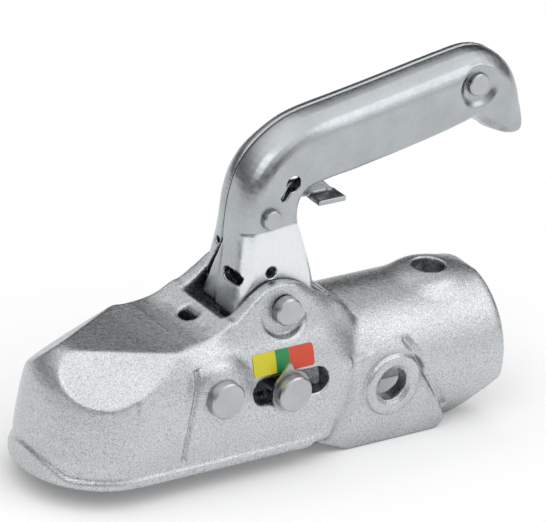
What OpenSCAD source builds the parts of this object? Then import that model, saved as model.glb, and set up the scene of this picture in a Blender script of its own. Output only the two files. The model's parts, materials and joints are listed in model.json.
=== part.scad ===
// Trailer coupling head for a 50 mm ball, with lifting handle and sliding ball clamp.
// Millimetres. Origin at the centre of the ball, +X to the drawbar, +Y to the far side,
// +Z up. The side with the wear gauge is the -Y side.

/* [Ball end] */
// Diameter of the towing ball that the socket takes
ball_d = 50; // [40:0.5:60]
// Radial room between ball and socket
ball_room = 0.3; // [0.1:0.05:1]
// Half width of the rim at the bottom of the housing
rim_half = 36.3; // [33:0.1:45]
// Height of the ball centre above the rim
rim_drop = 11; // [8:0.5:16]
// How far the rim stands out from the side wall
rim_lip = 1.5; // [0.8:0.1:3]
// Thickness of the rim flange
rim_thick = 4.3; // [2.5:0.1:7]
// Height of the flat deck above the ball centre
deck_z = 43; // [40:0.5:50]

/* [Collar] */
// Bore for the drawbar tube
tube_d = 50; // [40:0.5:54]
// Outside diameter of the collar
collar_d = 68.8; // [64:0.2:80]
// Height of the tube axis above the ball centre
tube_z = 7.9; // [4:0.1:12]
// Rear end of the collar from the ball centre
collar_end = 191.3; // [180:0.5:210]
// Where the tube bore ends inside the collar
bore_start = 112; // [111:0.5:118]
// Half width over the flat side pads
pad_half = 31.5; // [30.5:0.1:33]
// Underside of the side pads
pad_z = -20; // [-22:0.5:-18.5]
// Cross bolt hole diameter
side_bolt_d = 14.5; // [10:0.5:16]
// Cross bolt hole position along the drawbar
side_bolt_x = 132.4; // [128:0.2:138]
// Top bolt hole diameter
top_bolt_d = 14.5; // [8:0.5:16]
// Top bolt hole position along the drawbar
top_bolt_x = 169.5; // [164:0.5:174]

/* [Ears and pins] */
// Gap between the two ears
ear_gap = 31; // [30.6:0.1:34]
// Handle pivot along the drawbar
pivot_x = 76.1; // [74:0.1:78]
// Handle pivot above the ball centre
pivot_z = 51.8; // [50:0.1:54]
// Pivot pin shank diameter
pivot_d = 10; // [8:0.5:11]
// Pivot pin head diameter
pivot_head_d = 12.6; // [12:0.1:15]
// Clamp guide pin along the drawbar
guide_x = 39.6; // [37:0.1:42]
// Clamp guide pin above the ball centre
guide_z = 23.2; // [21:0.1:25]
// Clamp guide pin shank diameter
guide_d = 12; // [9:0.5:13]
// Clamp guide pin head diameter
guide_head_d = 16.5; // [15:0.1:19]
// Gauge pin along the drawbar when locked
gauge_x = 73.4; // [71:0.1:75]
// Gauge pin and slot height above the ball centre
gauge_z = 20; // [19:0.1:22]
// Gauge pin shank diameter
gauge_d = 10; // [8:0.5:10.5]
// Gauge pin head diameter
gauge_head_d = 16.2; // [15:0.1:18]
// Height of the gauge slot
slot_h = 11.6; // [11:0.1:13]
// Front end of the gauge slot
slot_front = 56.6; // [54:0.2:60]
// Rear end of the gauge slot
slot_rear = 95.6; // [94:0.2:98]
// Front edge of the gauge sticker
label_x0 = 56.6; // [54:0.2:60]
// Rear edge of the gauge sticker
label_x1 = 88; // [86:0.2:92]
// Lower edge of the gauge sticker
label_z0 = 27.4; // [27:0.1:29]
// Upper edge of the gauge sticker
label_z1 = 36.6; // [34:0.1:39]
// Running clearance of pins and pivots on the radius
run = 0.1; // [0.05:0.01:0.2]

/* [Handle] */
// Half width of the grip
grip_half = 13; // [12:0.1:14]
// Half width of the flared foot
foot_half = 14.8; // [14.2:0.1:15]
// Sheet thickness of the two handle shells
sheet = 2.5; // [1.5:0.1:3]
// Pressed corner radius of the shells at the foot
corner_r = 6.5; // [4:0.1:8]
// How far the rounded back of the grip reaches across each shell
back_across = 12; // [8:0.5:12.5]
// How far the rounded back of the grip reaches down each shell
back_depth = 10; // [6:0.5:13]
// Distance of the seam from the middle, towards the far side
seam_y = 3; // [0:0.1:4]
// Half gap between the shells under the grip
under_gap = 2.4; // [2.2:0.1:4]
// Catch pivot along the drawbar
catch_x = 71.6; // [70:0.1:73]
// Catch pivot above the ball centre
catch_z = 90.4; // [89:0.1:92]
// Catch pin diameter
catch_d = 6; // [4:0.5:7]
// Catch pin head diameter
catch_head_d = 8.9; // [8:0.1:11]
// Thickness of the catch plate
catch_t = 2.6; // [2:0.1:3]
// End rivet along the drawbar
rivet_x = 176.6; // [172:0.2:180]
// End rivet above the ball centre
rivet_z = 133.2; // [130:0.2:136]
// End rivet diameter
rivet_d = 8; // [6:0.5:9]
// Lift angle of the handle
lift_deg = 42; // [30:1:44]
// Travel of clamp and gauge pin over the full lift
travel = 15.5; // [12:0.5:16]

/* [Hidden] */
$fn = 96;
wall_half = rim_half - rim_lip;
rim_z = -rim_drop;
socket_r = ball_d / 2 + ball_room;
tube_r = tube_d / 2;
collar_r = collar_d / 2;
gap_half = ear_gap / 2;
cavity_half = 27.5;
cavity_top = 34;
cavity_rear = 100.5;
cam_t = 9;
cam_pocket_rear = 108.5;
stop_r = 20;
open_half = 16.8;
plate_t = 3;
plate_front = cavity_rear - 0.3 - plate_t;
seat_gap = 0.2;
fork_half = 6;
clamp_half = 20;
cheek_half = 17;
shank_r = gauge_d / 2;
ear_face = 24.6;
pin_head_t = 4.4;
spring_r = 7.2;
spring_wire = 2.2;
spring_z = 0;
spring_front = 58;
eps = 0.05;
big = 120;
pad_face = pad_half - 0.8;

// A flat shape drawn in X and Z, thick along Y
module along_y(y0, y1, pts) {
    translate([0, y1, 0])
        rotate([90, 0, 0])
            linear_extrude(height = y1 - y0)
                polygon(pts);
}

// A flat shape drawn in Y and Z, long along X
module along_x(x0, x1, pts) {
    translate([x0, 0, 0])
        rotate([90, 0, 90])
            linear_extrude(height = x1 - x0)
                polygon(pts);
}

// A round bar along Y
module bar_y(x, z, y0, y1, r) {
    translate([x, y1, z])
        rotate([90, 0, 0])
            cylinder(r = r, h = y1 - y0);
}

// A turned shape about a Y axis, drawn as radius and outward distance on the -Y side
module turned_y(x, z, pts) {
    translate([x, 0, z])
        rotate([90, 0, 0])
            rotate_extrude()
                polygon(pts);
}

// A cutting block whose face passes through a point and looks along a direction
module half_space(p, tilt, turn) {
    translate(p)
        rotate([0, tilt, turn])
            translate([-big, -big, 0])
                cube([2 * big, 2 * big, big]);
}

module both_sides() {
    children();
    mirror([0, 1, 0])
        children();
}

// Half of the cross section over the body, from the rim up to the ears
side_curve = [
    [wall_half, rim_z],
    [wall_half, 1],
    [wall_half - 0.3, 10],
    [wall_half - 0.8, 18],
    [wall_half - 1.6, 24],
    [wall_half - 2.8, 29],
    [wall_half - 4.4, 33.5],
    [wall_half - 6.4, 37.5],
    [wall_half - 8.3, 40.7],
    [wall_half - 9.8, 44],
    [wall_half - 11.2, 49],
    [wall_half - 12.4, 56],
    [wall_half - 13.2, 68]
];

body_section = concat(
    side_curve,
    [for (i = [len(side_curve) - 1:-1:0]) [-side_curve[i][0], side_curve[i][1]]]
);

nose_curve = [
    [0, rim_z],
    [wall_half, rim_z],
    [wall_half, 1],
    [wall_half - 0.6, 9],
    [wall_half - 1.4, 17],
    [wall_half - 2.4, 24],
    [wall_half - 3.6, 29.5],
    [wall_half - 5.2, 33.5],
    [wall_half - 7.4, 36.8],
    [wall_half - 10.2, 39.6],
    [wall_half - 13, 41.7],
    [wall_half - 16, deck_z - 0.3],
    [wall_half - 19, deck_z],
    [0, deck_z]
];

deck_profile = [
    [-1, rim_z],
    [101, rim_z],
    [101, 49.5],
    [54, 50.8],
    [50, 50.4],
    [46, 48.2],
    [42, 45.8],
    [36, 44.4],
    [26, 43.5],
    [16, deck_z],
    [-1, deck_z]
];

ear_profile = [
    [30, 30],
    [30, 43.6],
    [38.4, 44.8],
    [45, 47.4],
    [52.5, 50.7],
    [57, 54],
    [61.7, 57.9],
    [65, 60.3],
    [68.2, 62],
    [71.5, 62.9],
    [74.8, 63],
    [78, 62.8],
    [81.1, 62.1],
    [84.6, 60.9],
    [88.2, 59.2],
    [102.2, 51],
    [110.6, 46],
    [114, 43],
    [116, 39],
    [116, 20],
    [90, 20]
];

// What is taken out between the ears, in front of the handle
between_ears = [
    [28, 43.8],
    [36, 44.4],
    [42, 45.8],
    [46, 48.2],
    [50, 50.4],
    [54, 50.8],
    [54, 90],
    [28, 90]
];

// One side pad, as seen from the side
pad_profile = [
    [101.5, -15.8],
    [95.6, -13.2],
    [96.6, -9],
    [107.6, -8],
    [107.6, 23.3],
    [122.4, 23],
    [135.4, 22.4],
    [137.4, 24.6],
    [160.8, -9.8],
    [163.6, -15.6],
    [159.5, pad_z],
    [111.5, pad_z]
];

module rim() {
    translate([0, 0, rim_z])
        cylinder(r = rim_half, h = rim_thick);
    both_sides()
        translate([0, 0, rim_z])
            cube([100, rim_half, rim_thick]);
    intersection() {
        translate([0, 0, rim_z])
            cylinder(r1 = rim_half, r2 = rim_half - 0.5, h = rim_drop + 2.8);
        translate([-27, 0, rim_z + rim_thick - 1])
            rotate([0, -48, 0])
                translate([0, -60, -60])
                    mirror([1, 0, 0])
                        cube([60, 120, 120]);
    }
}

module nose() {
    rotate_extrude()
        polygon(nose_curve);
}

module middle() {
    difference() {
        union() {
            intersection() {
                along_x(-1, 101, body_section);
                along_y(-60, 60, deck_profile);
            }
            intersection() {
                along_x(20, 120, body_section);
                along_y(-60, 60, ear_profile);
            }
        }
        along_y(-gap_half, gap_half, between_ears);
        both_sides()
            half_space([106, -34, 28], 80, -40);
    }
}

module collar() {
    difference() {
        translate([96, 0, tube_z])
            rotate([0, 90, 0])
                rotate_extrude()
                    polygon([
                        [0, 0],
                        [collar_r, 0],
                        [collar_r, collar_end - 96 - 4],
                        [collar_r - 0.4, collar_end - 96 - 2],
                        [collar_r - 1.1, collar_end - 96 - 0.7],
                        [collar_r - 2.1, collar_end - 96],
                        [0, collar_end - 96]
                    ]);
        translate([90, -60, -60])
            cube([140, 120, 60 + pad_z]);
        both_sides()
            along_y(pad_face, 60, pad_profile);
    }
    both_sides()
        along_y(0, pad_face, pad_profile);
    both_sides()
        bar_y(side_bolt_x, tube_z - 0.3, 0, pad_half, 14);
    translate([top_bolt_x, 0, 20])
        cylinder(r1 = 19, r2 = 15.6, h = tube_z + collar_r + 1.6 - 20);
    along_y(-20, 20, [[95, pad_z + 7], [95, 30], [112, 30], [112, pad_z + 2]]);
}

module housing_solid() {
    rim();
    nose();
    middle();
    collar();
    both_sides()
        turned_y(guide_x, guide_z, [
            [0, 20],
            [17, 20],
            [15.8, wall_half - 1.4],
            [14.2, wall_half - 0.3],
            [12.6, wall_half + 0.3],
            [11.2, wall_half + 0.5],
            [0, wall_half + 0.5]
        ]);
}

module housing_hollow() {
    sphere(r = socket_r);
    translate([0, 0, rim_z - 10])
        cylinder(r = socket_r, h = rim_drop + 10);
    translate([0, 0, rim_z - 1])
        cylinder(r1 = socket_r + 2.2, r2 = socket_r, h = 3.2);
    along_y(-cavity_half, cavity_half, [
        [10, rim_z - 10],
        [10, cavity_top - 8],
        [18, cavity_top],
        [cavity_rear - 4, cavity_top],
        [cavity_rear, cavity_top - 4],
        [cavity_rear, rim_z - 10]
    ]);
    along_y(-gap_half, gap_half, [
        [50.5, 20],
        [50.5, 44],
        [48.6, 51],
        [47.5, 60],
        [47.5, 90],
        [130, 90],
        [104, 46],
        [cavity_rear, 43],
        [cavity_rear, 20]
    ]);
    translate([90, -fork_half - 1, 8])
        cube([cam_pocket_rear - 90, 2 * fork_half + 2, 34]);
    translate([cavity_rear - 1, 0, tube_z])
        rotate([0, 90, 0])
            cylinder(r = stop_r, h = 20);
    translate([cavity_rear - 1, -open_half, pad_z - 10])
        cube([120, 2 * open_half, tube_z - pad_z + 2]);
}

module housing() {
    color([0.72, 0.75, 0.77])
    difference() {
        housing_solid();
        housing_hollow();
        translate([bore_start, 0, tube_z])
            rotate([0, 90, 0])
                cylinder(r = tube_r, h = 120);
        both_sides()
            bar_y(side_bolt_x, tube_z - 0.3, 0, 60, side_bolt_d / 2);
        both_sides()
            turned_y(side_bolt_x, tube_z - 0.3, [
                [0, pad_half - 1.4],
                [side_bolt_d / 2, pad_half - 1.4],
                [side_bolt_d / 2 + 0.9, pad_half + 1],
                [0, pad_half + 1]
            ]);
        translate([top_bolt_x, 0, tube_z])
            cylinder(r = top_bolt_d / 2, h = 80);
        translate([top_bolt_x, 0, tube_z + collar_r + 1.1])
            cylinder(r1 = top_bolt_d / 2, r2 = top_bolt_d / 2 + 1, h = 1);
        bar_y(pivot_x, pivot_z, -60, 60, pivot_d / 2);
        both_sides()
            bar_y(pivot_x, pivot_z, ear_face - 1.6, 60, 12.2);
        bar_y(guide_x, guide_z, -60, 60, guide_d / 2);
        both_sides()
            along_y(20, 60, [
                [slot_front + slot_h / 2, gauge_z - slot_h / 2],
                [slot_front + slot_h / 2, gauge_z + slot_h / 2],
                [slot_rear - slot_h / 2, gauge_z + slot_h / 2],
                [slot_rear - slot_h / 2, gauge_z - slot_h / 2]
            ]);
        both_sides()
            bar_y(slot_front + slot_h / 2, gauge_z, 20, 60, slot_h / 2);
        both_sides()
            bar_y(slot_rear - slot_h / 2, gauge_z, 20, 60, slot_h / 2);
        translate([44, 0, 30])
            cylinder(r = 4.9, h = 30);
        both_sides()
            half_space([-4.9, -22.4, 34.3], 41.9, -118.1);
        both_sides()
            half_space([collar_end - 28.3, -pad_half + 0.5, pad_z + 3], 135, -55.3);
        both_sides()
            translate([25, -wall_half - 4.2, 16.5])
                rotate([0, -10.4, 0])
                    translate([-0.7, 0, -21])
                        cube([1.4, 5, 41]);
    }
}

module retaining_ring(x, z, r, y) {
    difference() {
        bar_y(x, z, y, y + 1.4, r + 2.4);
        bar_y(x, z, y - 1, y + 3, r);
        translate([x - 1.8, y - 1, z - r - 6])
            cube([3.6, 4, r + 6]);
    }
}

// A headed pin, lying along Y with its head at the -Y side
module headed_pin(x, z, shank, head, y_head, y_end) {
    turned_y(x, z, [
        [0, -y_end],
        [shank - 0.8, -y_end],
        [shank, -y_end + 0.8],
        [shank, y_head],
        [head, y_head],
        [head, y_head + pin_head_t - 0.7],
        [head - 0.7, y_head + pin_head_t],
        [0, y_head + pin_head_t]
    ]);
}

module pivot_pin() {
    color([0.78, 0.8, 0.82])
        headed_pin(pivot_x, pivot_z, pivot_d / 2, pivot_head_d / 2, ear_face - 1.6, 26.4);
}

module pivot_ring() {
    color([0.6, 0.62, 0.64])
        retaining_ring(pivot_x, pivot_z, pivot_d / 2, ear_face - 1.6);
}

module guide_pin() {
    color([0.78, 0.8, 0.82])
        headed_pin(guide_x, guide_z, guide_d / 2, guide_head_d / 2, wall_half + 0.5, wall_half + 3.4);
}

module guide_ring() {
    color([0.6, 0.62, 0.64])
        retaining_ring(guide_x, guide_z, guide_d / 2, wall_half + 0.5);
}

// Strap across the stop shoulder that carries the spring
module spring_plate() {
    color([0.5, 0.51, 0.53])
    along_x(plate_front, plate_front + plate_t, [
        [-22.6, -9],
        [22.6, -9],
        [24, -7],
        [24, 4],
        [18, 9],
        [-18, 9],
        [-24, 4],
        [-24, -7]
    ]);
}

module spring_guide() {
    color([0.55, 0.56, 0.58])
    translate([plate_front - seat_gap, 0, spring_z])
        rotate([0, -90, 0])
            rotate_extrude()
                polygon([[0, 0], [4.6, 0], [4.6, 2], [4.6, 17], [3.6, 18], [0, 18]]);
}

// The sticker follows the curve of the side wall
module gauge_label() {
    skin = 0.4;
    strip = concat(
        [for (p = side_curve) [-p[0] - skin, p[1]]],
        [for (i = [len(side_curve) - 1:-1:0]) [-side_curve[i][0] - 0.02, side_curve[i][1]]]
    );
    color([0.85, 0.8, 0.15])
    intersection() {
        along_x(label_x0, label_x1, strip);
        along_y(-60, 0, [
            [label_x0, label_z0 + 1.2],
            [label_x0 + 1.2, label_z0],
            [label_x1 - 1.2, label_z0],
            [label_x1, label_z0 + 1.2],
            [label_x1, label_z1 - 1.2],
            [label_x1 - 1.2, label_z1],
            [label_x0 + 1.2, label_z1],
            [label_x0, label_z1 - 1.2]
        ]);
    }
}

// Main spring, a round wire coil lying along X
spring_turns = 7;
spring_steps = 18;
wire_sides = 8;
module main_spring() {
    length = plate_front - spring_front - spring_wire - 2 * seat_gap;
    count = spring_turns * spring_steps;
    start = spring_front + seat_gap + spring_wire / 2;
    pts = [
        for (i = [0:count])
            let (a = 360 * i / spring_steps, x = start + length * i / count)
                for (j = [0:wire_sides - 1])
                    let (b = 360 * j / wire_sides, q = spring_r + spring_wire / 2 * cos(b))
                        [x + spring_wire / 2 * sin(b), q * cos(a), spring_z + q * sin(a)]
    ];
    sides = [
        for (i = [0:count - 1])
            for (j = [0:wire_sides - 1])
                let (k = (j + 1) % wire_sides, p = i * wire_sides, q = (i + 1) * wire_sides)
                    [p + j, p + k, q + k, q + j]
    ];
    first = [[for (j = [wire_sides - 1:-1:0]) j]];
    last = [[for (j = [0:wire_sides - 1]) count * wire_sides + j]];
    color([0.3, 0.31, 0.33])
        polyhedron(points = pts, faces = concat(sides, first, last), convexity = 10);
}

// Handle shells. Each row is outer X, outer Z, inner X, inner Z, half width, how far the
// corner has grown from the foot to the grip, depth of the far shell's corner and the
// radius of the lower corner.
handle_rows = [
    [57.8, 45.7, 98.6, 47.5, foot_half, 0, corner_r, 5],
    [58.2, 55.2, 97.4, 58, foot_half, 0, corner_r, 5],
    [58.7, 64.2, 94.6, 67, foot_half - 0.1, 0, corner_r, 5],
    [59.1, 73.2, 91.6, 76, foot_half - 0.8, 0.05, 7.5, 5],
    [58.6, 80.8, 88.9, 82.6, grip_half + 0.4, 0.2, 9, 4.6],
    [58.5, 82.8, 88.4, 84.4, grip_half, 0.25, 9.5, 4.4],
    [58.6, 87.2, 87.6, 87.4, grip_half, 0.4, 9.5, 4.2],
    [58.9, 92.9, 87.3, 91.5, grip_half, 0.55, 9, 4],
    [59.7, 99.2, 87.8, 95, grip_half, 0.7, 8.5, 4],
    [61.4, 106.2, 89.2, 97.8, grip_half, 0.85, 8.5, 4],
    [64.2, 112, 91.4, 99.9, grip_half, 0.95, 9, 4],
    [68, 117.2, 94.6, 101.2, grip_half, 1, 10, 4],
    [72.7, 121.5, 98.8, 102, grip_half, 1, 12, 4],
    [78.3, 125.4, 103.4, 102.7, grip_half, 1, 13.5, 4],
    [85.3, 128.9, 109, 103.4, grip_half, 1, 14, 4],
    [94.3, 131.4, 115.5, 104.3, grip_half, 1, 14, 4],
    [108.8, 133.9, 125.5, 106.1, grip_half, 1, 14, 4],
    [128.4, 137.3, 140, 108.7, grip_half, 1, 14, 4],
    [153.4, 142, 160, 112.6, grip_half, 1, 14, 4.5],
    [170, 144.9, 172, 114.9, grip_half, 1, 14, 6],
    [178, 145.9, 177.2, 115.2, grip_half, 1, 14, 8],
    [185.2, 144.9, 180.3, 113.9, grip_half, 1, 14, 9],
    [191.6, 141.9, 183.4, 111.8, grip_half, 1, 13, 9.5],
    [196.8, 137, 186.2, 109.5, grip_half, 1, 12, 10],
    [200.4, 130.4, 188.8, 107.8, grip_half, 1, 11, 10],
    [202.9, 123.2, 191.4, 106.6, grip_half, 1, 10, 10],
    [204.8, 116.4, 194, 105.9, grip_half - 0.1, 1, 10, 10],
    [205.6, 111.4, 196.4, 105.6, grip_half - 0.6, 1, 10, 10],
    [204.8, 108.4, 198.4, 105.6, grip_half - 1.6, 1, 10, 10],
    [202.8, 106.6, 199.6, 105.8, grip_half - 3.4, 1, 10, 10]
];

function between(a, b, c, d, t) =
    0.5 * ((2 * b) + (c - a) * t + (2 * a - 5 * b + 4 * c - d) * t * t + (3 * b - a - 3 * c + d) * t * t * t);

rows_last = len(handle_rows) - 1;
smooth_rows = concat(
    [
        for (i = [0:rows_last - 1])
            let (
                a = handle_rows[max(i - 1, 0)],
                b = handle_rows[i],
                c = handle_rows[i + 1],
                d = handle_rows[min(i + 2, rows_last)]
            )
                for (t = [0, 0.5])
                    between(a, b, c, d, t)
    ],
    [handle_rows[rows_last]]
);

back_n = 6;
under_n = 3;
bevel = 0.5;

// Width and depth of the upper corner, which is larger on the grip than at the foot
function corner_across(row, side) =
    let (grown = side < 0 ? row[5] : min(1, 4 * row[5]))
        min(corner_r + (back_across - corner_r) * grown, row[4] - side * seam_y - 0.9);

function corner_depth(row, side) =
    side < 0 ? corner_r + (back_depth - corner_r) * row[5] : row[6];

// One line of the folded sheet: depth below the back and distance from the middle
function fold(row, side, inset) =
    let (
        h = norm([row[2] - row[0], row[3] - row[1]]),
        w = row[4],
        lo = min(inset, h / 2 - 0.2),
        start = side * seam_y + 0.05,
        ry = max(corner_across(row, side) - inset, 0.3),
        rz = max(min(corner_depth(row, side), h / 2 - 0.1) - lo, 0.3),
        ru = max(min(row[7], h / 2 - 0.1) - lo, 0.3),
        cut = inset > 0 ? 0 : bevel
    )
        concat(
            [[lo + cut, start], [lo, start + 0.1 + cut]],
            [
                for (k = [0:back_n])
                    let (a = 90 * k / back_n)
                        [lo + rz - rz * cos(a), w - inset - ry + ry * sin(a)]
            ],
            [
                for (k = [0:under_n])
                    let (a = 90 - 90 * k / under_n)
                        [h - lo - ru + ru * cos(a), w - inset - ru + ru * sin(a)]
            ],
            [[h - lo, under_gap]]
        );

function placed(row, q, side) =
    let (dx = row[2] - row[0], dz = row[3] - row[1], h = sqrt(dx * dx + dz * dz))
        [row[0] + dx / h * q[0], side * q[1], row[1] + dz / h * q[0]];

function flipped(v) = [for (i = [len(v) - 1:-1:0]) v[i]];

module shell_sweep(side) {
    rings = [
        for (row = smooth_rows)
            let (loop = concat(fold(row, side, 0), flipped(fold(row, side, sheet))))
                [for (q = loop) placed(row, q, side)]
    ];
    n = len(rings[0]);
    m = len(rings);
    pts = [for (ring = rings) for (p = ring) p];
    strips = [
        for (i = [0:m - 2])
            for (j = [0:n - 1])
                let (k = (j + 1) % n, p = i * n, q = (i + 1) * n)
                    for (f = [[p + j, q + j, q + k], [p + j, q + k, p + k]])
                        side < 0 ? f : flipped(f)
    ];
    half = n / 2;
    caps = [
        for (e = [0, m - 1])
            for (j = [0:half - 2])
                let (a = e * n + j, b = e * n + j + 1, c = e * n + n - 2 - j, d = e * n + n - 1 - j)
                    for (f = [[a, b, c], [a, c, d]])
                        (side < 0) == (e == 0) ? f : flipped(f)
    ];
    polyhedron(points = pts, faces = concat(strips, caps), convexity = 10);
}

// Everything that both shells share, for the -Y side
module shell_side(side) {
    shell_sweep(side);
    intersection() {
        mirror([0, side > 0 ? 1 : 0, 0])
            bar_y(pivot_x, pivot_z, -foot_half, -foot_half + sheet, 14);
        translate([40, -40, 20])
            cube([80, 80, 29]);
    }
    mirror([0, side > 0 ? 1 : 0, 0])
        turned_y(rivet_x, rivet_z, [
            [rivet_d / 2, grip_half - 4.6],
            [rivet_d / 2, grip_half - 2.3],
            [9.4, grip_half - 2.3],
            [9.4, grip_half - 3.6],
            [8.4, grip_half - 4.6]
        ]);
}

module shell_holes(side) {
    mirror([0, side > 0 ? 1 : 0, 0]) {
        bar_y(pivot_x, pivot_z, -30, -5, pivot_d / 2 + run);
        bar_y(catch_x, catch_z, -30, -5, catch_d / 2);
        bar_y(82.1, 104.6, -30, -5, 3.6);
        translate([82.1, 0, 104.6])
            rotate([0, 35, 0])
                translate([-1.3, -30, -8.6])
                    cube([2.6, 25, 8.6]);
        bar_y(73.4, 65.7, -30, -5, 2.6);
    }
}

// Tongue of the near shell that reaches behind the far one at the foot
module lap() {
    intersection() {
        union() {
            along_y(-6, 12, [[60.9, 49], [62.2, 49], [63.2, 76], [61.9, 76]]);
            along_y(-6, seam_y - 0.1, [[59.6, 49], [62.2, 49], [63.2, 76], [60.6, 76]]);
        }
        along_x(50, 70, [[-6, 49], [11, 49], [11, 54], [8.8, 60], [8.4, 67], [6.8, 76], [-6, 76]]);
    }
}

module handle_near_shell() {
    color([0.7, 0.73, 0.75])
    difference() {
        union() {
            shell_side(-1);
            lap();
        }
        shell_holes(-1);
        dish_cut(-1);
        for (y = [-9.3, -3.5])
            translate([50, y, 63.4])
                rotate([0, 90, 0])
                    cylinder(r = 2.9, h = 16);
        translate([50, -9.3, 63.4 - 2.9])
            cube([16, 5.8, 5.8]);
    }
}

// Opens the dish where the end rivet sits
module dish_cut(side) {
    mirror([0, side > 0 ? 1 : 0, 0])
        turned_y(rivet_x, rivet_z, [
            [0, grip_half - 2.4],
            [6.6, grip_half - 2.4],
            [7.9, grip_half - 2.1],
            [10.2, grip_half - 0.4],
            [11.8, grip_half + 0.3],
            [11.8, grip_half + 2],
            [0, grip_half + 2]
        ]);
    mirror([0, side > 0 ? 1 : 0, 0])
        bar_y(rivet_x, rivet_z, -20, 0, rivet_d / 2);
}

module handle_far_shell() {
    color([0.68, 0.71, 0.73])
    difference() {
        shell_side(1);
        shell_holes(1);
        dish_cut(1);
        along_x(40, 62, [
            [-1, 40],
            [-1, 76.8],
            [3.1, 76.8],
            [6.2, 69.8],
            [9.4, 62.8],
            [12.9, 55.6],
            [14, 49.3],
            [14, 40]
        ]);
        translate([50, 6.4, 74.7])
            rotate([0, 90, 0])
                cylinder(r = 1.6, h = 12);
    }
}

// Path of the gauge pin, seen from the cam, over the lift
cam_path = [
    for (k = [0:8])
        let (
            a = lift_deg * k / 8,
            x = gauge_x - pivot_x + travel * k / 8,
            z = gauge_z - pivot_z
        )
            [pivot_x + x * cos(a) + z * sin(a), pivot_z - x * sin(a) + z * cos(a)]
];

module drive_cam() {
    color([0.5, 0.51, 0.53])
    difference() {
        union() {
            bar_y(pivot_x, pivot_z, -cam_t / 2, cam_t / 2, 10);
            along_y(-cam_t / 2, cam_t / 2, [
                [pivot_x - 9.9, pivot_z + 1],
                [pivot_x - 19.5, gauge_z + 3],
                [pivot_x - 20.3, gauge_z - 2],
                [pivot_x - 17, gauge_z - 8.5],
                [pivot_x + 1.5, gauge_z - 9],
                [pivot_x + 5.8, gauge_z - 5],
                [pivot_x + 6.4, gauge_z],
                [pivot_x + 9.9, pivot_z + 1]
            ]);
        }
        bar_y(pivot_x, pivot_z, -20, 20, pivot_d / 2 + run);
        for (p = cam_path)
            bar_y(p[0], p[1], -20, 20, shank_r + 0.35);
    }
}

module cam_spacer(y0, y1) {
    difference() {
        bar_y(pivot_x, pivot_z, y0, y1, 8);
        bar_y(pivot_x, pivot_z, y0 - 1, y1 + 1, pivot_d / 2 + run);
    }
}

module near_spacer() {
    color([0.6, 0.61, 0.62])
        cam_spacer(-foot_half + sheet, -cam_t / 2);
}

module far_spacer() {
    color([0.6, 0.61, 0.62])
        cam_spacer(cam_t / 2, foot_half - sheet);
}

module catch_pin() {
    color([0.78, 0.8, 0.82])
        turned_y(catch_x, catch_z, [
            [0, -grip_half - 2.6],
            [catch_head_d / 2 - 0.5, -grip_half - 2.6],
            [catch_head_d / 2, -grip_half - 2.1],
            [catch_head_d / 2, -grip_half],
            [catch_d / 2, -grip_half],
            [catch_d / 2, grip_half],
            [catch_head_d / 2, grip_half],
            [catch_head_d / 2, grip_half + 2.1],
            [catch_head_d / 2 - 0.5, grip_half + 2.6],
            [0, grip_half + 2.6]
        ]);
}

module end_rivet() {
    color([0.78, 0.8, 0.82])
    turned_y(rivet_x, rivet_z, [
        [0, -grip_half + 0.6],
        [rivet_d / 2 + 0.6, -grip_half + 0.6],
        [rivet_d / 2 + 1, -grip_half + 1],
        [rivet_d / 2 + 1, -grip_half + 2.4],
        [rivet_d / 2, -grip_half + 2.4],
        [rivet_d / 2, grip_half - 2.4],
        [rivet_d / 2 + 1, grip_half - 2.4],
        [rivet_d / 2 + 1, grip_half - 1],
        [rivet_d / 2 + 0.6, grip_half - 0.6],
        [0, grip_half - 0.6]
    ]);
}

module end_spacer() {
    color([0.6, 0.61, 0.62])
    difference() {
        bar_y(rivet_x, rivet_z, -grip_half + 4.6, grip_half - 4.6, 6.4);
        bar_y(rivet_x, rivet_z, -20, 20, rivet_d / 2);
    }
}

module safety_catch() {
    y0 = -catch_t / 2;
    color([0.66, 0.68, 0.7])
    difference() {
        union() {
            bar_y(catch_x, catch_z, y0, -y0, 7);
            along_y(y0, -y0, [
                [63.8, 61],
                [66, 61],
                [72, 84],
                [78, 88],
                [95, 91],
                [99.5, 90.3],
                [112.2, 90.3],
                [111.7, 92],
                [107, 96.2],
                [98, 99.4],
                [84, 99.6],
                [74, 96.6],
                [66, 92],
                [62.6, 84],
                [63.8, 77]
            ]);
            along_x(99.5, 113.7, [[-9, 89], [0, 89], [0.9, 89.4], [-y0, 90.3], [-y0, 91.5], [-9, 91.5]]);
            along_x(100.5, 108, [[-4, 91], [-4, 91.5], [-2.5, 91.9], [-1.6, 92.8], [y0, 94.4], [0, 94.4], [0, 91]]);
        }
        bar_y(catch_x, catch_z, -20, 20, catch_d / 2 + run);
        bar_y(97.4, 88, -20, -y0 + 1, 2.4);
    }
}

// Small coil round the catch pin
module catch_spring() {
    turns = 4;
    steps = 16;
    wire = 1.3;
    count = turns * steps;
    sides_n = 6;
    pts = [
        for (i = [0:count])
            let (a = 360 * i / steps, y = 2.4 + (turns * 1.7) * i / count)
                for (j = [0:sides_n - 1])
                    let (b = 360 * j / sides_n, q = 4.6 + wire / 2 * cos(b))
                        [catch_x + q * cos(a), y + wire / 2 * sin(b), catch_z + q * sin(a)]
    ];
    strips = [
        for (i = [0:count - 1])
            for (j = [0:sides_n - 1])
                let (k = (j + 1) % sides_n, p = i * sides_n, q = (i + 1) * sides_n)
                    [p + j, p + k, q + k, q + j]
    ];
    first = [[for (j = [sides_n - 1:-1:0]) j]];
    last = [[for (j = [0:sides_n - 1]) count * sides_n + j]];
    color([0.4, 0.41, 0.43])
        polyhedron(points = pts, faces = concat(strips, first, last), convexity = 10);
}

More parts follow.
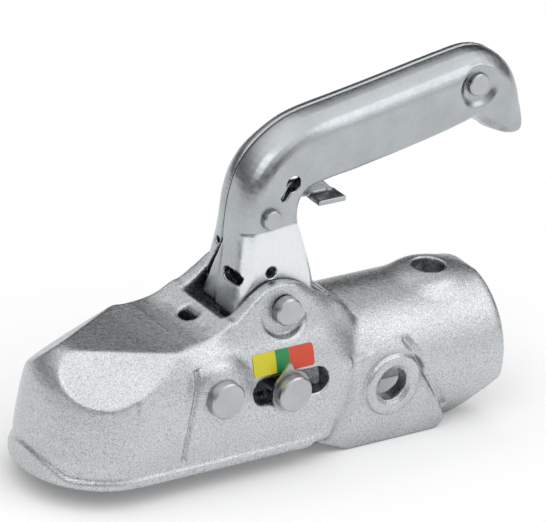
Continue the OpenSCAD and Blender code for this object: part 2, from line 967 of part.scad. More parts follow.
module ball_clamp() {
    color([0.45, 0.46, 0.48])
    difference() {
        union() {
            along_y(-clamp_half, clamp_half, [
                [11, 22],
                [19.5, 30.5],
                [52, 30.5],
                [56, 26],
                [spring_front, 12],
                [spring_front, -7],
                [50, -9.5],
                [15, -9.5],
                [11, 2]
            ]);
            along_y(-cheek_half, cheek_half, [
                [50, 30.5],
                [76, 28.5],
                [81, 24],
                [81, 15],
                [77, 11],
                [50, 9]
            ]);
        }
        sphere(r = socket_r);
        translate([0, 0, -30])
            cylinder(r = 22, h = 32);
        translate([54, -fork_half, 8.5])
            cube([60, 2 * fork_half, 60]);
        along_y(-40, 40, [
            [guide_x - travel, guide_z - guide_d / 2 - 0.3],
            [guide_x - travel, guide_z + guide_d / 2 + 0.3],
            [guide_x, guide_z + guide_d / 2 + 0.3],
            [guide_x, guide_z - guide_d / 2 - 0.3]
        ]);
        bar_y(guide_x - travel, guide_z, -40, 40, guide_d / 2 + 0.3);
        bar_y(guide_x, guide_z, -40, 40, guide_d / 2 + 0.3);
        bar_y(gauge_x, gauge_z, -40, 40, shank_r);
    }
}

module gauge_pin() {
    color([0.78, 0.8, 0.82])
        headed_pin(gauge_x, gauge_z, shank_r, gauge_head_d / 2, wall_half + 2.2, wall_half + 4.6);
}

module gauge_pointer() {
    color([0.7, 0.72, 0.74])
    difference() {
        union() {
            bar_y(gauge_x, gauge_z, -wall_half - 2.2, -wall_half - 1, 9.4);
            along_y(-wall_half - 2.2, -wall_half - 1, [
                [gauge_x - 8, gauge_z + 4.9],
                [gauge_x + 8, gauge_z + 4.9],
                [gauge_x + 2.6, gauge_z + 9],
                [gauge_x + 0.7, gauge_z + 9.9],
                [gauge_x - 1.2, gauge_z + 13],
                [gauge_x - 2.4, gauge_z + 13],
                [gauge_x - 4.3, gauge_z + 9.9],
                [gauge_x - 5.6, gauge_z + 7.9]
            ]);
        }
        bar_y(gauge_x, gauge_z, -60, 0, shank_r);
    }
}

module gauge_washer() {
    color([0.7, 0.72, 0.74])
    difference() {
        bar_y(gauge_x, gauge_z, wall_half + 0.5, wall_half + 2, 9);
        bar_y(gauge_x, gauge_z, 20, 60, shank_r);
    }
}

module gauge_ring() {
    color([0.6, 0.62, 0.64])
        retaining_ring(gauge_x, gauge_z, shank_r, wall_half + 2);
}

housing();
pivot_pin();
pivot_ring();
guide_pin();
guide_ring();
spring_plate();
spring_guide();
gauge_label();
main_spring();
handle_near_shell();
handle_far_shell();
drive_cam();
near_spacer();
far_spacer();
catch_pin();
catch_spring();
end_rivet();
end_spacer();
safety_catch();
ball_clamp();
gauge_pin();
gauge_pointer();
gauge_washer();
gauge_ring();
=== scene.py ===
"""Looks of the trailer coupling head: materials, rounded skins, sticker, spring, stage and camera."""
import json
import math
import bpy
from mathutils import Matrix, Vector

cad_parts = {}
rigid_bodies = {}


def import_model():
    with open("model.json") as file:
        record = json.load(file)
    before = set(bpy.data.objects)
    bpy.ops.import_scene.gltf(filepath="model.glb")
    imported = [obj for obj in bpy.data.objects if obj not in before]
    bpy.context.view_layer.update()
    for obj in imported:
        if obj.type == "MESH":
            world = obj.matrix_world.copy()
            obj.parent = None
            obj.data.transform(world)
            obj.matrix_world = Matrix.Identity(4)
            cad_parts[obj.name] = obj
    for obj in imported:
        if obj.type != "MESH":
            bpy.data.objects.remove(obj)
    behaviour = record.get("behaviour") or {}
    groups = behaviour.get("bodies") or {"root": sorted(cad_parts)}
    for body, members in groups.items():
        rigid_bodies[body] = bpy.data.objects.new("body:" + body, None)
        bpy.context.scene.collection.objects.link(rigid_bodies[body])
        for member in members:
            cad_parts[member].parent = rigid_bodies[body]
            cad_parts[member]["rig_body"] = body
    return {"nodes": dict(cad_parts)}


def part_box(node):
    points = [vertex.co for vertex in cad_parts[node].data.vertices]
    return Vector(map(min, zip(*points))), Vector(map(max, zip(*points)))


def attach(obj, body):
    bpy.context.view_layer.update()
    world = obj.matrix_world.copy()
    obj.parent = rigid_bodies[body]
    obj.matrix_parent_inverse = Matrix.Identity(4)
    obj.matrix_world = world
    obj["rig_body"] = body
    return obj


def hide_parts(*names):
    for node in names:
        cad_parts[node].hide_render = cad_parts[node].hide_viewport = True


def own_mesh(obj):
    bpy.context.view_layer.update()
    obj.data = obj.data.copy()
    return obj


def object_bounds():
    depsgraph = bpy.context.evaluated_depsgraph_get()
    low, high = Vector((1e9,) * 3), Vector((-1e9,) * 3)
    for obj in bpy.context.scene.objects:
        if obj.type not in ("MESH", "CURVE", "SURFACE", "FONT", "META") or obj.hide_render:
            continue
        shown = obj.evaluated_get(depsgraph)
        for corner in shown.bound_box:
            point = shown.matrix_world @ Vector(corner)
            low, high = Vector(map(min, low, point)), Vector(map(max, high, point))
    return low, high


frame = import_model()
size_before = [list(corner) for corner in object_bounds()]

import bmesh
import bpy
import numpy as np
from mathutils import Matrix, Vector
from mathutils.bvhtree import BVHTree

MM = 0.001
nodes = frame["nodes"]
scene = bpy.context.scene

# The camera that the photograph was taken with, in the frame of the part.
CAMERA_TURN = math.radians(-37.2)
CAMERA_RISE = math.radians(25.6)
CAMERA_ROLL = math.radians(5.8)
CAMERA_DISTANCE = 2340.4 * MM
AIM = Vector((84.89, 0, 62.28)) * MM
FOCAL_PIXELS = 5500
IMAGE_WIDTH = 546
SENSOR_WIDTH = 36
CLIP_DISTANCES = 0.05, 50


def place_camera():
    """The camera looks at AIM from the photograph's direction, with the same perspective."""
    back = Vector((
        math.sin(CAMERA_TURN) * math.cos(CAMERA_RISE),
        -math.cos(CAMERA_TURN) * math.cos(CAMERA_RISE),
        math.sin(CAMERA_RISE),
    ))
    level = Vector((math.cos(CAMERA_TURN), math.sin(CAMERA_TURN), 0))
    up = back.cross(level)
    right = math.cos(CAMERA_ROLL) * level + math.sin(CAMERA_ROLL) * up
    top = -math.sin(CAMERA_ROLL) * level + math.cos(CAMERA_ROLL) * up
    data = bpy.data.cameras.new("photo_camera")
    data.sensor_width = SENSOR_WIDTH
    data.lens = FOCAL_PIXELS / IMAGE_WIDTH * SENSOR_WIDTH
    data.clip_start, data.clip_end = CLIP_DISTANCES
    camera = bpy.data.objects.new("photo_camera", data)
    turn = Matrix((right, top, back)).transposed().to_4x4()
    camera.matrix_world = Matrix.Translation(AIM + CAMERA_DISTANCE * back) @ turn
    scene.collection.objects.link(camera)
    scene.camera = camera


# Materials

# Socket numbers of Blender's mix node when it mixes colours.
MIX_SHARE, MIX_FIRST, MIX_SECOND, MIX_RESULT = 0, 6, 7, 2
# Painted shade in hollows: shares of open directions at which a place is painted darkest, and at which it
# keeps its colour.
CLOSED, OPEN = 0.25, 0.8
PAINTED_SHADE_SAMPLES = 6
EVEN_NOISE = 0.5


def fill_ramp(node, stops):
    """Sets a colour ramp node: each stop is a position and a grey level or colour."""
    points = node.color_ramp.elements
    while len(points) < len(stops):
        points.new(0.5)
    for point, (position, colour) in zip(points, stops):
        point.position = position
        point.color = (*colour, 1) if isinstance(colour, tuple) else (colour, colour, colour, 1)


class Shader:
    """A node material under construction: link() joins sockets, add() makes nodes."""

    def __init__(self, name):
        self.material = bpy.data.materials.new(name)
        self.material.use_nodes = True
        self.tree = self.material.node_tree
        self.surface = self.tree.nodes["Principled BSDF"]
        self.place = self.add("ShaderNodeTexCoord").outputs["Object"]

    def add(self, kind, **values):
        """A node with its sockets set by name."""
        made = self.tree.nodes.new(kind)
        for name, value in values.items():
            made.inputs[name.replace("_", " ")].default_value = value
        return made

    def link(self, source, target):
        self.tree.links.new(source, target)

    def noise(self, scale, detail, roughness=EVEN_NOISE):
        """Noise in the object's own space; scale is in features per metre."""
        made = self.add("ShaderNodeTexNoise", Scale=scale, Detail=detail, Roughness=roughness)
        self.link(self.place, made.inputs["Vector"])
        return made.outputs["Fac"]

    def ramp(self, source, stops):
        """The colour or grey level that a ramp gives for a value."""
        made = self.tree.nodes.new("ShaderNodeValToRGB")
        fill_ramp(made, stops)
        self.link(source, made.inputs["Fac"])
        return made.outputs["Color"]

    def pattern(self, scale, detail, stops):
        """A ramp over noise: cloudy or speckled colours, or levels."""
        return self.ramp(self.noise(scale, detail), stops)

    def mix(self, share, first, second, blend="MIX"):
        """Mixes two colours by a share: each is a socket, and can be a plain value too."""
        made = self.tree.nodes.new("ShaderNodeMix")
        made.data_type = "RGBA"
        made.blend_type = blend
        for place, value in ((MIX_SHARE, share), (MIX_FIRST, first), (MIX_SECOND, second)):
            if isinstance(value, bpy.types.NodeSocket):
                self.link(value, made.inputs[place])
            elif isinstance(value, tuple):
                made.inputs[place].default_value = (*value, 1)
            else:
                made.inputs[place].default_value = value
        return made.outputs[MIX_RESULT]

    def multiply(self, first, second):
        """The product of two colours."""
        return self.mix(1, first, second, "MULTIPLY")

    def painted_shade_in_hollows(self, colour, reach, darkest):
        """The colour with painted shade: darker where other surfaces stand close by, as in a slot, a valley
        or a hollow.
        """
        made = self.add("ShaderNodeAmbientOcclusion", Distance=reach)
        made.samples = PAINTED_SHADE_SAMPLES
        return self.multiply(colour, self.ramp(made.outputs["AO"], ((CLOSED, darkest), (OPEN, 1.0))))

    def beyond(self, direction, start, blend):
        """0 up to a plane across the direction, rising to 1 within the blend distance past it."""
        dot = self.tree.nodes.new("ShaderNodeVectorMath")
        dot.operation = "DOT_PRODUCT"
        dot.inputs[1].default_value = direction
        self.link(self.place, dot.inputs[0])
        made = self.add("ShaderNodeMapRange", From_Min=start, From_Max=start + blend)
        self.link(dot.outputs["Value"], made.inputs["Value"])
        return made.outputs["Result"]

    def bumps(self, layers):
        """Stacks layers of bumps: each is a noise scale, detail and roughness, then strength and depth."""
        normal = None
        for scale, detail, roughness, strength, depth in layers:
            made = self.add("ShaderNodeBump", Strength=strength, Distance=depth)
            self.link(self.noise(scale, detail, roughness), made.inputs["Height"])
            if normal is not None:
                self.link(normal, made.inputs["Normal"])
            normal = made.outputs["Normal"]
        self.link(normal, self.surface.inputs["Normal"])


# Each pattern is a noise scale, its detail, and the stops of a ramp over its values. Each layer of bumps is a
# noise scale, its detail and roughness, and the strength and depth of the bumps.
CAST_CLOUDS = 45, 3, ((0.35, (0.51, 0.53, 0.55)), (0.65, (0.59, 0.61, 0.625)))
CAST_SPECKS = 1700, 2, ((0.36, (0.24, 0.26, 0.28)), (0.54, (0.66, 0.68, 0.69)))
CAST_ROUGHNESS = 700, 2, ((0.3, 0.22), (0.7, 0.37))
CAST_SPECK_SHARE = 0.5
# Painted shade of the casting: how far it looks for other surfaces, and its darkest level.
CAST_PAINTED_SHADE_REACH = 18 * MM
CAST_PAINTED_SHADE_LEVEL = 0.55
CAST_GRAIN = 1500, 3, 0.65, 1.0, 0.18 * MM
CAST_WAVES = 420, 2, EVEN_NOISE, 0.5, 0.25 * MM


def zinc_cast():
    """Zinc plated casting: bright grey with a fine glittering grain and faint cloudy patches, and painted
    shade in its hollows.
    """
    zinc = Shader("zinc_cast")
    zinc.surface.inputs["Metallic"].default_value = 1.0
    colour = zinc.mix(CAST_SPECK_SHARE, zinc.pattern(*CAST_CLOUDS), zinc.pattern(*CAST_SPECKS))
    # Painted shade: the colour is darkened in hollows and near other surfaces.
    shaded = zinc.painted_shade_in_hollows(colour, CAST_PAINTED_SHADE_REACH, CAST_PAINTED_SHADE_LEVEL)
    zinc.link(shaded, zinc.surface.inputs["Base Color"])
    zinc.link(zinc.pattern(*CAST_ROUGHNESS), zinc.surface.inputs["Roughness"])
    zinc.bumps((CAST_GRAIN, CAST_WAVES))
    return zinc.material


SHEET_DARKER = 0.86
SHEET_FINE_SHARE = 0.3
# Painted shade of the sheet parts: how far it looks for other surfaces, and its darkest level, as inside the
# shells.
SHEET_PAINTED_SHADE_REACH = 12 * MM
SHEET_PAINTED_SHADE_LEVEL = 0.35
SHEET_SMOOTHER, SHEET_ROUGHER = 0.05, 0.07
SHEET_GRAIN = 2200, 3, EVEN_NOISE
SHEET_GRAIN_DEPTH = 0.08 * MM
SHEET_WAVES = 120, 2, EVEN_NOISE, 0.2, 0.25 * MM
# The painted sheen lies below the crease of the foot, on its near side: a lighter panel that stands for the
# light it reflects. Direction, start, blend distance.
SHEEN_BELOW_CREASE = (0.08, 0, -1), -79.4 * MM, 0.5 * MM
SHEEN_NEAR_SIDE = (0, -1, 0), 10.2 * MM, 1.2 * MM


def zinc_sheet(name, colour, rough, grain=0.12, painted_sheen=None):
    """Zinc plated steel: smooth, with faint clouds and small marks, painted shade in its hollows, and a
    lighter panel of painted sheen if it is given.
    """
    zinc = Shader(name)
    zinc.surface.inputs["Metallic"].default_value = 1.0
    dark = tuple(SHEET_DARKER * level for level in colour)
    clouds = zinc.pattern(70, 3, ((0.35, dark), (0.62, colour)))
    fine = zinc.pattern(2600, 2, ((0.3, dark), (0.7, colour)))
    plain = zinc.mix(SHEET_FINE_SHARE, clouds, fine)
    with_sheen = plain
    # Painted sheen: the foot's near panel below the crease is given a lighter colour.
    if painted_sheen:
        panel = zinc.mix(zinc.beyond(*SHEEN_BELOW_CREASE), plain, painted_sheen)
        with_sheen = zinc.mix(zinc.beyond(*SHEEN_NEAR_SIDE), plain, panel)
    # Painted shade: the colour is darkened inside the shells, in hollows and near other surfaces.
    shaded = zinc.painted_shade_in_hollows(with_sheen, SHEET_PAINTED_SHADE_REACH, SHEET_PAINTED_SHADE_LEVEL)
    zinc.link(shaded, zinc.surface.inputs["Base Color"])
    roughness = zinc.pattern(420, 3, ((0.3, rough - SHEET_SMOOTHER), (0.7, rough + SHEET_ROUGHER)))
    zinc.link(roughness, zinc.surface.inputs["Roughness"])
    zinc.bumps(((*SHEET_GRAIN, grain, SHEET_GRAIN_DEPTH), SHEET_WAVES))
    return zinc.material


# Where each colour of the sticker starts, as a share of its length.
STICKER_FIELDS = (0.0, (0.68, 0.61, 0.02)), (0.375, (0.02, 0.26, 0.08)), (0.595, (0.68, 0.07, 0.03))
PRINT_GRAIN = 900, 2, ((0.3, 0.92), (0.7, 1.0))
PRINT_ROUGHNESS = 300, 2, ((0.3, 0.38), (0.7, 0.5))
PRINT_WAVES = 400, 2, EVEN_NOISE, 0.2, 0.1 * MM


def sticker():
    """The gauge sticker: yellow, green and red fields of plain printed film."""
    film = Shader("gauge_sticker")
    along = film.add("ShaderNodeSeparateXYZ")
    film.link(film.place, along.inputs[0])
    field = film.add("ShaderNodeMapRange")
    low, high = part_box("gauge_label")
    field.inputs["From Min"].default_value = low[0]
    field.inputs["From Max"].default_value = high[0]
    film.link(along.outputs["X"], field.inputs["Value"])
    colours = film.ramp(field.outputs["Result"], STICKER_FIELDS)
    colours.node.color_ramp.interpolation = "CONSTANT"
    film.link(film.multiply(colours, film.pattern(*PRINT_GRAIN)), film.surface.inputs["Base Color"])
    film.link(film.pattern(*PRINT_ROUGHNESS), film.surface.inputs["Roughness"])
    film.bumps((PRINT_WAVES,))
    return film.material


def dress(piece, material):
    """Gives a piece one material and smooth shading."""
    piece.data.materials.clear()
    piece.data.materials.append(material)
    for face in piece.data.polygons:
        face.use_smooth = True


# The casting and the pressed shells, rounded

# Grid sizes of the skins, how far off the middle the two shells meet, and the most triangles in a skin.
CASTING_VOXEL = 0.66 * MM
SHELL_VOXEL = 0.46 * MM
CATCH_VOXEL = 0.4 * MM
SEAM = 3 * MM
SKIN_TRIANGLES = 185000


def apply_modifiers(piece):
    """Puts the mesh that the modifiers make in place of the piece's mesh."""
    graph = bpy.context.evaluated_depsgraph_get()
    mesh = bpy.data.meshes.new_from_object(piece.evaluated_get(graph))
    piece.modifiers.clear()
    piece.data = mesh


def points_of(mesh):
    """The points of a mesh, one row each."""
    points = np.empty(len(mesh.vertices) * 3)
    mesh.vertices.foreach_get("co", points)
    return points.reshape(-1, 3)


def put_points(mesh, points):
    """Gives the points of a mesh their new places."""
    mesh.vertices.foreach_set("co", points.ravel())
    mesh.update()


def relax(piece, rounds, softness):
    """Moves each point towards the middle of its neighbours; softness gives how far, point by point."""
    mesh = piece.data
    count = len(mesh.vertices)
    points = points_of(mesh)
    edges = np.empty(len(mesh.edges) * 2, int)
    mesh.edges.foreach_get("vertices", edges)
    one, two = edges.reshape(-1, 2).T
    degree = np.bincount(np.concatenate((one, two)), minlength=count)[:, None]
    share = softness(points)[:, None]
    for _ in range(rounds):
        total = np.stack([
            np.bincount(one, points[two, k], count) + np.bincount(two, points[one, k], count)
            for k in range(3)
        ], 1)
        points += share * (total / np.maximum(degree, 1) - points)
    put_points(mesh, points)


def near_rod(points, start, end, radius, blend):
    """1 inside a round rod between two places, falling to 0 over the blend distance."""
    first = np.array(start) * MM
    span = np.array(end) * MM - first
    along = np.clip(((points - first) @ span) / (span @ span), 0, 1)
    gap = np.linalg.norm(points - (first + along[:, None] * span), axis=1) - radius * MM
    return np.clip(1 - gap / (blend * MM), 0, 1)


def near_any(points, rods):
    """The largest value of near_rod() over several rods."""
    return np.max([near_rod(points, *rod) for rod in rods], axis=0)


# Places on the casting in millimetres: (x, z) of what runs across it, and of the slot's two ends.
CROSS_BOLT = 132.4, 7.6
GUIDE_PIN = 39.6, 23.2
PIVOT_PIN = 76.1, 51.8
SLOT_ENDS = (62.4, 20), (89.8, 20)
TOP_BOLT_X = 169.5
TUBE_Z = 7.9
PAD_TOP = (110, 23.2), (135.4, 22.6)
PAD_SIDES = (137.4, 24.6), (160.8, -9.8), (159.5, -20), (111.5, -20), (95.6, -13.2)
PAD_OUT = 31
PAST_WALL = 36
PAST_EAR = 40


def rod(first, second, outs, radius, blend):
    """A rod between two places (x, z), which lie this far out on the near side."""
    (x0, z0), (x1, z1) = first, second
    return (x0, -outs[0], z0), (x1, -outs[1], z1), radius, blend


# Rods are start, end, radius and blend, in millimetres. They name the near side, which stands for both.
# Machined: the holes of the cross bolt, guide pin and pivot pin, the slot, the hole of the top bolt, the
# tube's bore and the socket.
SHARP = 1.2
PAD_EDGE = 2, 2
MACHINED = (
    rod(CROSS_BOLT, CROSS_BOLT, (PAST_WALL, -PAST_WALL), 9, SHARP),
    rod(GUIDE_PIN, GUIDE_PIN, (PAST_EAR, -PAST_EAR), 9, SHARP),
    rod(PIVOT_PIN, PIVOT_PIN, (PAST_EAR, -PAST_EAR), 7.5, SHARP),
    rod(*SLOT_ENDS, (PAST_WALL, PAST_WALL), 7, SHARP),
    ((TOP_BOLT_X, 0, 30), (TOP_BOLT_X, 0, 46), 8.5, SHARP),
    ((112, 0, TUBE_Z), (195, 0, TUBE_Z), 25.4, SHARP),
    ((0, 0, -30), (0, 0, 0), 26.5, SHARP),
)
PAD_EDGES = (
    rod(*PAD_TOP, (PAD_OUT, PAD_OUT), *PAD_EDGE),
    *(rod(first, second, (PAD_OUT, PAD_OUT), *PAD_EDGE) for first, second in zip(PAD_SIDES, PAD_SIDES[1:])),
    rod(CROSS_BOLT, CROSS_BOLT, (PAD_OUT, PAD_OUT - 1), 15.5, 1.5),
)
# Soft: the valley in two stretches, the back of the wall, the deck's edge, the guide pin's boss, the heel
# and the top boss.
SOFT_CAST = (
    rod((94, 62), (104, 48), (31, 28), 8, 7),
    rod((104, 48), (109, 30), (28, 26), 8, 6),
    rod((107, 28), (108, -14), (33, 33), 3, 5),
    rod((30, 42), (52, 44), (34, 34), 5, 7),
    rod(GUIDE_PIN, GUIDE_PIN, (34, 30), 15, 3),
    rod((94, -12), (101, -10), (PAST_WALL, PAST_WALL), 3, 4),
    ((TOP_BOLT_X, 0, 38), (TOP_BOLT_X, 0, 42), 18, 4),
)
# The share of the way to its neighbours' middle that a free point moves in a round, and how firmly machined
# places, pad edges and the rims of holes are held.
FREE = 0.5
MACHINED_HOLD = 0.93
PAD_HOLD = 0.75
HOLE_HOLD = 0.95


def one_side(points):
    """The points with the far half laid over the near half: both sides of the casting are alike."""
    return points * (1, 0, 1) - np.abs(points) * (0, 1, 0)


def casting_softness(points):
    """How much each place of the casting is rounded: less where it is machined."""
    near = one_side(points)
    machined, pad = near_any(near, MACHINED), near_any(near, PAD_EDGES)
    return FREE * (1 - MACHINED_HOLD * machined) * (1 - PAD_HOLD * pad)


def valley_softness(points):
    """The valleys and boss edges that are rounded further."""
    near = one_side(points)
    machined, pad = near_any(near, MACHINED), near_any(near, PAD_EDGES)
    return FREE * near_any(near, SOFT_CAST) * (1 - machined) * (1 - pad)


def places(points):
    """How far back, out to its side and up each point lies, in millimetres."""
    return points[:, 0] / MM, np.abs(points[:, 1]) / MM, points[:, 2] / MM


def at_distance(points, out):
    """The points on their own side of the part, this many millimetres out."""
    moved = points.copy()
    moved[:, 1] = np.sign(points[:, 1]) * out * MM
    return moved


def groove_depth(x, z, ends, depth, width):
    """How far a groove between two places goes in at each point, with soft sides."""
    (x0, z0), (x1, z1) = ends
    length = math.hypot(x1 - x0, z1 - z0)
    along = ((x - x0) * (x1 - x0) + (z - z0) * (z1 - z0)) / length
    aside = ((x - x0) * (z1 - z0) - (z - z0) * (x1 - x0)) / length
    fade = np.clip(along / width + 1, 0, 1) * np.clip((length - along) / width + 1, 0, 1)
    return depth * fade * np.exp(-(aside / width) ** 2)


# The valley between wall and collar, in millimetres. It starts VALLEY_LEAD in front of a slanting line
# through VALLEY_START, at right angles to VALLEY_WAY. The wall falls away as a parabola, but no further in
# than the round collar. The trough, given by its two ends, depth and half width, takes more off.
VALLEY_START = 93, 62
VALLEY_WAY = 0.927, 0.377
VALLEY_LEAD, VALLEY_REACH = 5, 13
VALLEY_CURVE = 0.085
VALLEY_END_X = 108
WALL_FACE = 33.6
COLLAR_RADIUS = 32
TROUGH = ((99, 54), (114, 26)), 3.2, 4.5
CARVED_X = 80, 126
CARVED_Z = 20, 70
CARVED_LEAST_OUT = 18


def carve_valley(points):
    """Lets each wall fall away towards the collar behind a slanting line, into a trough."""
    x, out, z = places(points)
    behind = (x - VALLEY_START[0]) * VALLEY_WAY[0] + (z - VALLEY_START[1]) * VALLEY_WAY[1]
    fall = VALLEY_CURVE * np.clip(behind + VALLEY_LEAD, 0, VALLEY_REACH) ** 2
    limit = np.where(x < VALLEY_END_X, WALL_FACE - fall, np.inf)
    collar = np.sqrt(np.clip(COLLAR_RADIUS ** 2 - (z - TUBE_Z) ** 2, 0, None))
    lower = np.minimum(out, np.maximum(limit, collar)) - groove_depth(x, z, *TROUGH)
    inside = (x > CARVED_X[0]) & (x < CARVED_X[1]) & (z > CARVED_Z[0]) & (z < CARVED_Z[1])
    return at_distance(points, np.where(inside & (out > CARVED_LEAST_OUT), lower, out))


# The ring round the cross bolt hole, in millimetres: how far out its foot is, its height, radius and bevel,
# the bevel of the hole, and where the ring blends into the pad. Only the pad's face and the ring's move.
RING_FOOT = 30.6
RING_HEIGHT = 1.8
RING_RADIUS = 14.4
RING_BEVEL = 0.7
HOLE_BEVEL_RADIUS, HOLE_BEVEL_WIDTH = 9.8, 3
HOLE_BEVEL_SLOPE = 0.7
HOLE_CLEAR = 7.7
RING_BLEND_RADIUS, RING_BLEND = 16.5, 1.5
RING_LEAST_OUT = 28.5
# Grooves of the cast sides: two places (x, z), depth, half width, and the least distance out of the face.
GROOVES = (
    ((28.4, 37.5), (22.6, -3), 1.8, 1.0, 30),
    ((138.6, 27), (162.2, -9), 1.5, 1.5, 24),
)


def cast_relief(points):
    """The fine forms of the cast sides: the ring round the cross bolt hole and the grooves."""
    x, out, z = places(points)
    radius = np.hypot(x - CROSS_BOLT[0], z - CROSS_BOLT[1])
    ring = RING_FOOT + RING_HEIGHT * np.clip((RING_RADIUS - radius) / RING_BEVEL, 0, 1)
    ring -= HOLE_BEVEL_SLOPE * np.clip(HOLE_BEVEL_RADIUS - radius, 0, HOLE_BEVEL_WIDTH)
    share = np.clip((RING_BLEND_RADIUS - radius) / RING_BLEND, 0, 1)
    out = out + share * ((out > RING_LEAST_OUT) & (radius > HOLE_CLEAR)) * (ring - out)
    for start, end, depth, width, least in GROOVES:
        out = out - groove_depth(x, z, (start, end), depth, width) * (out > least)
    return at_distance(points, out)


# Rods along the keyhole, its slot, the round hole of the foot and the one in its front corner.
RIM = 0.8
HOLES = (
    ((82.1, -16, 104.6), (82.1, -8, 104.6), 4.0, RIM),
    ((81.5, -16, 103.7), (77.1, -16, 97.5), 2.6, RIM),
    ((73.4, -16, 65.7), (73.4, -10, 65.7), 3.0, RIM),
    ((57, -9.3, 63.4), (57, -3.5, 63.4), 4.2, RIM),
)


def shell_softness(points):
    """The pressed shells are rounded all over, but less at the edges of their holes."""
    return FREE * (1 - HOLE_HOLD * near_any(one_side(points), HOLES))


def evenly(points):
    """The same softness everywhere."""
    return np.full(len(points), FREE)


def reshape(piece, form):
    """Moves the points of a piece to where a function puts them."""
    put_points(piece.data, form(points_of(piece.data)))


# The crease across the foot: two places (x, z), the step's height and blend, and the distances from the
# seam at which the step starts and over which it grows.
CREASE = (55, 83.4), (80, 85.4)
STEP_HEIGHT = 0.45
STEP_BLEND = 0.9
STEP_START = 5
STEP_GROWTH = 4


def shell_relief(points):
    """The foot of each pressing stands out a little below a crease."""
    x, z = points[:, 0] / MM, points[:, 2] / MM
    out = np.abs(points[:, 1] - SEAM) / MM
    (x0, z0), (x1, z1) = CREASE
    below = (z0 + (x - x0) * (z1 - z0) / (x1 - x0)) - z
    share = np.clip(below / STEP_BLEND + 0.5, 0, 1) * np.clip((out - STEP_START) / STEP_GROWTH, 0, 1)
    moved = points.copy()
    moved[:, 1] += np.sign(points[:, 1] - SEAM) * STEP_HEIGHT * share * MM
    return moved


# The tongue of the near pressing in front of the foot: its outline (y, z) and its two places along x.
TONGUE_OUTLINE = (2.0, 46.5), (13.4, 46.5), (2.5, 75.5), (2.0, 75.5)
TONGUE_X = 58.3, 60.4
TONGUE = [[(x, y, z) for y, z in TONGUE_OUTLINE] for x in TONGUE_X]
# The sill of the casting in front of the foot: its outline (x, z) and its two ends across the part.
SILL_OUTLINE = (45, 40), (45, 47), (48.6, 49.8), (56.2, 45.8), (56.2, 42.5), (50.4, 37)
SILL_Y = -17, 17
SILL = [[(x, y, z) for x, z in SILL_OUTLINE] for y in SILL_Y]


def add_prism(piece, ends):
    """Joins a prism between two outlines to the mesh of a piece, before it becomes one skin."""
    count = len(ends[0])
    points = [Vector(place) * MM for end in ends for place in end]
    sides = [(k, (k + 1) % count, (k + 1) % count + count, k + count) for k in range(count)]
    faces = [tuple(reversed(range(count))), tuple(range(count, 2 * count))] + sides
    built = bmesh.new()
    built.from_mesh(piece.data)
    corners = [built.verts.new(point) for point in points]
    made = [built.faces.new([corners[k] for k in face]) for face in faces]
    bmesh.ops.recalc_face_normals(built, faces=made)
    built.to_mesh(piece.data)
    built.free()


def skinned(name, node, voxel, passes, first=None, last=None, join=None):
    """A copy of a CAD node as one skin with rounded edges, in the node's place.

    The forms first and last move its points before and after the rounding; join is a prism to add.
    """
    piece = bpy.data.objects.new(name, nodes[node].data.copy())
    scene.collection.objects.link(piece)
    if join:
        add_prism(piece, join)
    skin = piece.modifiers.new("skin", "REMESH")
    skin.mode = "VOXEL"
    skin.voxel_size = voxel
    apply_modifiers(piece)
    if first:
        reshape(piece, first)
    for rounds, softness in passes:
        relax(piece, rounds, softness)
    if last:
        reshape(piece, last)
    thin = piece.modifiers.new("thin", "DECIMATE")
    thin.ratio = min(1, SKIN_TRIANGLES / (2 * len(piece.data.polygons)))
    apply_modifiers(piece)
    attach(piece, nodes[node]["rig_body"])
    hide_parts(node)
    return piece


# The main spring, which shortens as the clamp slides; here it is one plain copy on the housing


def main_coil():
    """A copy of the main spring on the housing, in place of the CAD node."""
    coil = bpy.data.objects.new("main_coil", nodes["main_spring"].data.copy())
    scene.collection.objects.link(coil)
    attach(coil, "housing")
    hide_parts("main_spring")
    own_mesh(coil)
    return coil


# The sticker, laid on the casting

LABEL_CORNER = 1.3 * MM
LABEL_THICK = 0.25 * MM
LABEL_STEPS = 60, 26
LABEL_SMOOTHING, LABEL_ROUNDS = 0.5, 3
OUTSIDE_Y = -80 * MM


def laid_sticker(casting):
    """A film with round corners that follows the casting's skin; its rows lie closer near the edges."""
    low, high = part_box("gauge_label")
    graph = bpy.context.evaluated_depsgraph_get()
    ground = BVHTree.FromObject(casting, graph)
    wide, tall = LABEL_STEPS
    points = []
    for j in range(tall + 1):
        z = low[2] + (high[2] - low[2]) * (0.5 - 0.5 * math.cos(math.pi * j / tall))
        edge = min(z - low[2], high[2] - z, LABEL_CORNER)
        inset = LABEL_CORNER - math.sqrt(max(0, LABEL_CORNER ** 2 - (LABEL_CORNER - edge) ** 2))
        for i in range(wide + 1):
            x = low[0] + inset + (high[0] - low[0] - 2 * inset) * i / wide
            hit = ground.ray_cast(Vector((x, OUTSIDE_Y, z)), Vector((0, 1, 0)))[0]
            points.append((x, hit.y - LABEL_THICK, z))
    row = wide + 1
    faces = [
        (start, start + 1, start + row + 1, start + row)
        for j in range(tall) for start in range(j * row, j * row + wide)
    ]
    mesh = bpy.data.meshes.new("gauge_film")
    mesh.from_pydata(points, [], faces)
    film = bpy.data.objects.new("gauge_film", mesh)
    scene.collection.objects.link(film)
    smooth = film.modifiers.new("smooth", "SMOOTH")
    smooth.factor, smooth.iterations = LABEL_SMOOTHING, LABEL_ROUNDS
    thick = film.modifiers.new("thick", "SOLIDIFY")
    thick.thickness = LABEL_THICK
    thick.offset = -1
    apply_modifiers(film)
    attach(film, "housing")
    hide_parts("gauge_label")
    return film


# Floor, lamps and world

FLOOR_REACH = 6
PAPER_GREY = 0.85
PAPER_ROUGHNESS = 0.9
PAPER_SHINE = 0.1
PAPER_GLOW = 0.15


